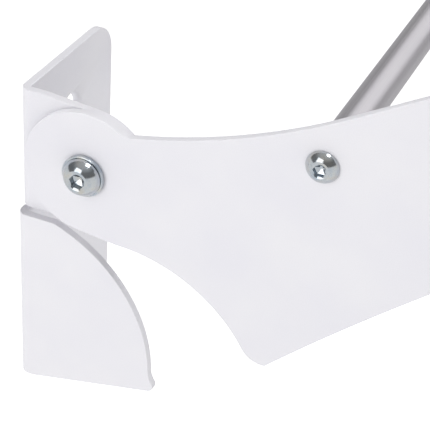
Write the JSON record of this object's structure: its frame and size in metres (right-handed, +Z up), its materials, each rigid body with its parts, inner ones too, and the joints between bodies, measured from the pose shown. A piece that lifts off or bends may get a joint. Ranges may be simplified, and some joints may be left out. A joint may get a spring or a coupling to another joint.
{
  "type": "wall mounted folding drying rack",
  "caption": "Wall mounted drying rack: tapering sheet arms joined by round rails pivot on bent brackets, rest on curved stop flaps when lowered and fold up against the wall.",
  "frame": {"origin": "on the wall plane, midway between the two brackets, at the height of the pivot axis", "axes": "+X along the rails towards the right-hand bracket as seen facing the wall, +Y into the wall, +Z up"},
  "size_m": [0.8116, 0.3977, 0.2934],
  "materials": {
    "powder_coat": "white satin powder coat",
    "rail_aluminium": "satin, natural anodised",
    "bright_zinc": "bright zinc plated steel",
    "insert_steel": "plain turned steel",
    "nylon": "natural white nylon"
  },
  "bodies": {
    "wall_brackets": {"bracket_left": "powder_coat", "pivot_bolt_left": "bright_zinc", "outer_washer_left": "bright_zinc", "inner_washer_left": "bright_zinc", "lock_nut_left": "bright_zinc", "lock_nut_ring_left": "nylon", "bracket_right": "powder_coat", "pivot_bolt_right": "bright_zinc", "outer_washer_right": "bright_zinc", "inner_washer_right": "bright_zinc", "lock_nut_right": "bright_zinc", "lock_nut_ring_right": "nylon"},
    "folding_frame": {"arm_left": "powder_coat", "pivot_bush_left": "nylon", "arm_right": "powder_coat", "pivot_bush_right": "nylon", "rail_1": "rail_aluminium", "rail_2": "rail_aluminium", "rail_3": "rail_aluminium", "rail_4": "rail_aluminium", "rail_5": "rail_aluminium", "rail_screw_left_1": "bright_zinc", "rail_insert_left_1": "insert_steel", "rail_screw_left_2": "bright_zinc", "rail_insert_left_2": "insert_steel", "rail_screw_left_3": "bright_zinc", "rail_insert_left_3": "insert_steel", "rail_screw_left_4": "bright_zinc", "rail_insert_left_4": "insert_steel", "rail_screw_left_5": "bright_zinc", "rail_insert_left_5": "insert_steel", "rail_screw_right_1": "bright_zinc", "rail_insert_right_1": "insert_steel", "rail_screw_right_2": "bright_zinc", "rail_insert_right_2": "insert_steel", "rail_screw_right_3": "bright_zinc", "rail_insert_right_3": "insert_steel", "rail_screw_right_4": "bright_zinc", "rail_insert_right_4": "insert_steel", "rail_screw_right_5": "bright_zinc", "rail_insert_right_5": "insert_steel"}
  },
  "joints": [
    {"name": "fold", "type": "hinge", "parent": "wall_brackets", "child": "folding_frame", "pos_m": [0, -0.0265, 0], "axis": [-1, 0, 0], "range_deg": [-30, 63]}
  ]
}
